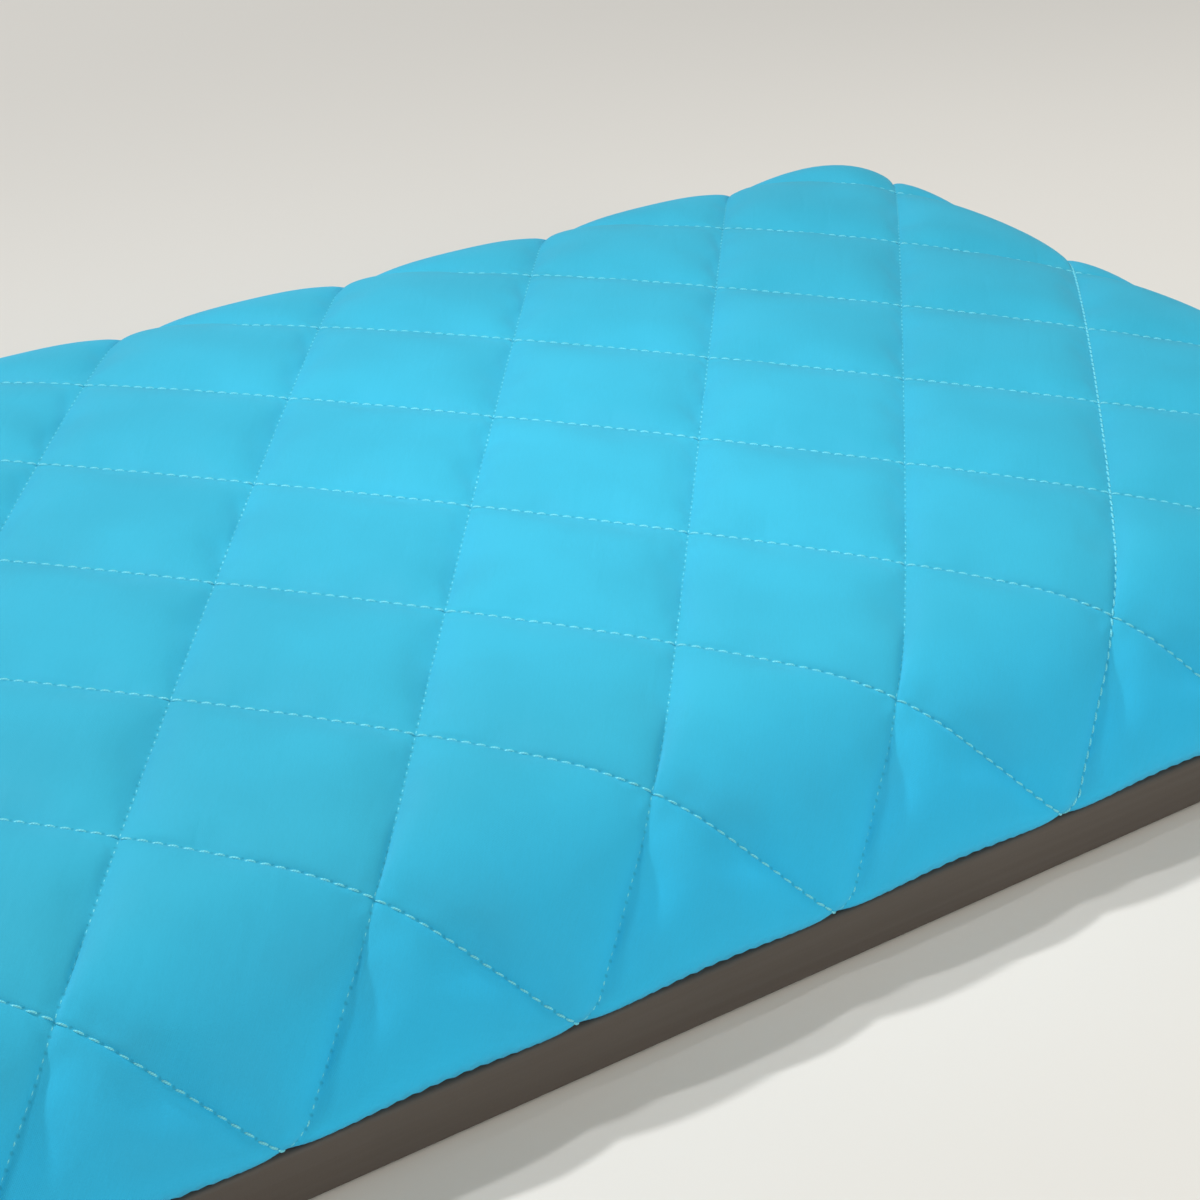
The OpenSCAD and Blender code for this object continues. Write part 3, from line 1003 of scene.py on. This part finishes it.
def make_feet(pad):
    """Ribbed rubber feet in their sockets."""
    rubber = rubber_finish(pad)
    ribs, groove, centre = 4, 0.35 * MM, 0.3 * MM
    for node in FEET:
        low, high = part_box(node)
        middle, radius = (low + high) / 2, (high.x - low.x) / 2
        profile = []
        for rib in range(ribs):
            outer = radius * (rib + 1) / (ribs + 0.6)
            inner = radius * (rib + 0.35) / (ribs + 0.6)
            profile += [(inner - 0.2 * MM, low.z + groove), (inner, low.z)] if rib else [(centre, low.z)]
            profile += [(outer - 0.1 * MM, low.z), (outer, low.z + groove)]
        rim, rounding = radius - 1.5 * MM, 0.8 * MM
        profile += [(rim - 0.1 * MM, low.z + groove), (rim, low.z), (radius - rounding, low.z)]
        profile += [(radius - 0.3 * rounding, low.z + 0.3 * rounding), (radius, low.z + rounding)]
        top = high.z - 0.02 * MM
        profile += [(radius, high.z - 0.2 * MM), (radius - 0.2 * MM, top), (centre, top)]
        foot = turned("rubber_" + node, profile, [middle.xy])
        foot.data.set_sharp_from_angle(angle=math.radians(40))
        seat(foot, rubber, "feet", node)


# ---------------------------------------------------------------- stage


def make_stage(pad):
    """Pale floor with painted shade toward its far side, soft lights and the camera."""
    scene = bpy.context.scene
    lights = pad.lights
    size, sides = 6.0, 24
    turns = [2 * math.pi * i / sides for i in range(sides)]
    floor_points = [(size * math.cos(t), size * math.sin(t), 0.0) for t in turns]
    floor = new_piece("floor", floor_points, [tuple(range(sides))])
    tone = tuple(pad.finishes.floor)
    finish = Finish("pale_floor", Roughness=0.7)
    finish.set("Specular IOR Level", 0.2)
    cloud = finish.noise(finish.place(), 3.0, 3.0)
    # Painted shade: the floor darkens toward its far side, standing in for the lights' falloff.
    painted_falloff_reach = finish.node("SeparateXYZ", {"Vector": finish.place()}).outputs["Y"]
    clouded = finish.toned(finish.between(cloud, 0.3, 0.7), tone, 0.99, 1.01)
    finish.set("Base Color", finish.mixed(finish.between(painted_falloff_reach, 0.05, 0.42), clouded, shade(tone, 0.8)))
    floor.data.materials.append(finish.material)

    def lamp(name, kind, watts, place, target, **settings):
        """A lamp at a place, turned toward its target where that isn't straight below."""
        data = bpy.data.lights.new(name, kind)
        data.energy = watts
        for key, value in settings.items():
            setattr(data, key, value)
        made = bpy.data.objects.new(name, data)
        made.location = place
        if target[:2] != place[:2]:
            made.rotation_euler = (Vector(target) - Vector(place)).to_track_quat("-Z", "Y").to_euler()
        scene.collection.objects.link(made)

    middle, pool_x, pool_y = (0, 0, 0), 0.015, -0.015
    lamp("key", "AREA", lights.key, (-1.55, 2.2, 2.95), middle, shape="DISK", size=0.17)
    lamp("second_key", "AREA", lights.second_key, (-0.3, 0.9, 1.8), middle, shape="DISK", size=0.12)
    lamp("fill", "AREA", lights.fill, (0.35, -1.8, 1.45), (0.05, 0, 0), shape="DISK", size=1.8,
         color=(1.0, 0.965, 0.89))
    lamp("pool", "SPOT", lights.pool, (pool_x, pool_y, 1.2), (pool_x, pool_y, 0),
         spot_size=math.radians(14.5), spot_blend=1.0, shadow_soft_size=0.08)
    world = bpy.data.worlds.new("studio")
    scene.world = world
    world.use_nodes = True
    background = world.node_tree.nodes["Background"]
    background.inputs["Color"].default_value = (1.0, 0.95, 0.84, 1.0)
    background.inputs["Strength"].default_value = lights.ambient
    scene.view_settings.view_transform = "Standard"

    camera_data = bpy.data.cameras.new("camera")
    camera_data.lens = lights.lens / MM
    camera_data.sensor_width = 36
    camera = bpy.data.objects.new("camera", camera_data)
    place = Matrix.Translation((-0.4299, -0.4981, 0.3654))
    forward = Vector((0.6080, 0.6447, -0.4633)).normalized()
    right = Vector((0.7539, -0.6519, 0.0822))
    right = (right - forward * right.dot(forward)).normalized()
    up = right.cross(forward)
    camera.matrix_world = place @ Matrix((right, up, -forward)).transposed().to_4x4()
    camera_data.clip_start, camera_data.clip_end = 0.02, 30
    scene.collection.objects.link(camera)
    scene.camera = camera


# ---------------------------------------------------------------- operators, panel and registration


class KNEELING_PAD_OT_cover(bpy.types.Operator):
    """Make the quilted cover"""

    bl_idname = "kneeling_pad.cover"
    bl_label = "Cover"

    def execute(self, context):
        make_cover(context.scene.kneeling_pad)
        return {"FINISHED"}


class KNEELING_PAD_OT_stitches(bpy.types.Operator):
    """Make the quilting's stitches on the cover"""

    bl_idname = "kneeling_pad.stitches"
    bl_label = "Stitches"

    def execute(self, context):
        make_stitches(context.scene.kneeling_pad)
        return {"FINISHED"}


class KNEELING_PAD_OT_layers(bpy.types.Operator):
    """Make the wadding and the lining behind the face fabric"""

    bl_idname = "kneeling_pad.layers"
    bl_label = "Wadding and lining"

    def execute(self, context):
        make_layers(context.scene.kneeling_pad)
        return {"FINISHED"}


class KNEELING_PAD_OT_foams(bpy.types.Operator):
    """Make the firm and the soft foam"""

    bl_idname = "kneeling_pad.foams"
    bl_label = "Foams"

    def execute(self, context):
        make_foams(context.scene.kneeling_pad)
        return {"FINISHED"}


class KNEELING_PAD_OT_board(bpy.types.Operator):
    """Finish the board, staples, T-nuts and screws"""

    bl_idname = "kneeling_pad.board"
    bl_label = "Board and fasteners"

    def execute(self, context):
        make_board(context.scene.kneeling_pad)
        return {"FINISHED"}


class KNEELING_PAD_OT_plate(bpy.types.Operator):
    """Make the moulded base plate"""

    bl_idname = "kneeling_pad.plate"
    bl_label = "Base plate"

    def execute(self, context):
        make_plate(context.scene.kneeling_pad)
        return {"FINISHED"}


class KNEELING_PAD_OT_feet(bpy.types.Operator):
    """Make the rubber feet"""

    bl_idname = "kneeling_pad.feet"
    bl_label = "Feet"

    def execute(self, context):
        make_feet(context.scene.kneeling_pad)
        return {"FINISHED"}


class KNEELING_PAD_OT_stage(bpy.types.Operator):
    """Make the floor, the lights and the camera"""

    bl_idname = "kneeling_pad.stage"
    bl_label = "Stage"

    def execute(self, context):
        make_stage(context.scene.kneeling_pad)
        return {"FINISHED"}


OPERATORS = [
    KNEELING_PAD_OT_cover, KNEELING_PAD_OT_stitches, KNEELING_PAD_OT_layers, KNEELING_PAD_OT_foams,
    KNEELING_PAD_OT_board, KNEELING_PAD_OT_plate, KNEELING_PAD_OT_feet, KNEELING_PAD_OT_stage]


class KNEELING_PAD_PT_panel(bpy.types.Panel):
    """Lists the pad's makers in order"""

    bl_label = "Kneeling pad"
    bl_idname = "KNEELING_PAD_PT_panel"
    bl_space_type = "VIEW_3D"
    bl_region_type = "UI"
    bl_category = "Kneeling pad"

    def draw(self, context):
        for operator in OPERATORS:
            self.layout.operator(operator.bl_idname)


CLASSES = [CushionShape, Quilting, Finishes, StageLights, KneelingPad, *OPERATORS, KNEELING_PAD_PT_panel]


def register():
    for cls in CLASSES:
        bpy.utils.register_class(cls)
    bpy.types.Scene.kneeling_pad = PointerProperty(type=KneelingPad)


def unregister():
    del bpy.types.Scene.kneeling_pad
    for cls in reversed(CLASSES):
        bpy.utils.unregister_class(cls)


def main():
    register()
    bpy.ops.kneeling_pad.cover()
    bpy.ops.kneeling_pad.stitches()
    bpy.ops.kneeling_pad.layers()
    bpy.ops.kneeling_pad.foams()
    bpy.ops.kneeling_pad.board()
    bpy.ops.kneeling_pad.plate()
    bpy.ops.kneeling_pad.feet()
    bpy.ops.kneeling_pad.stage()


if __name__ == "__main__":
    main()
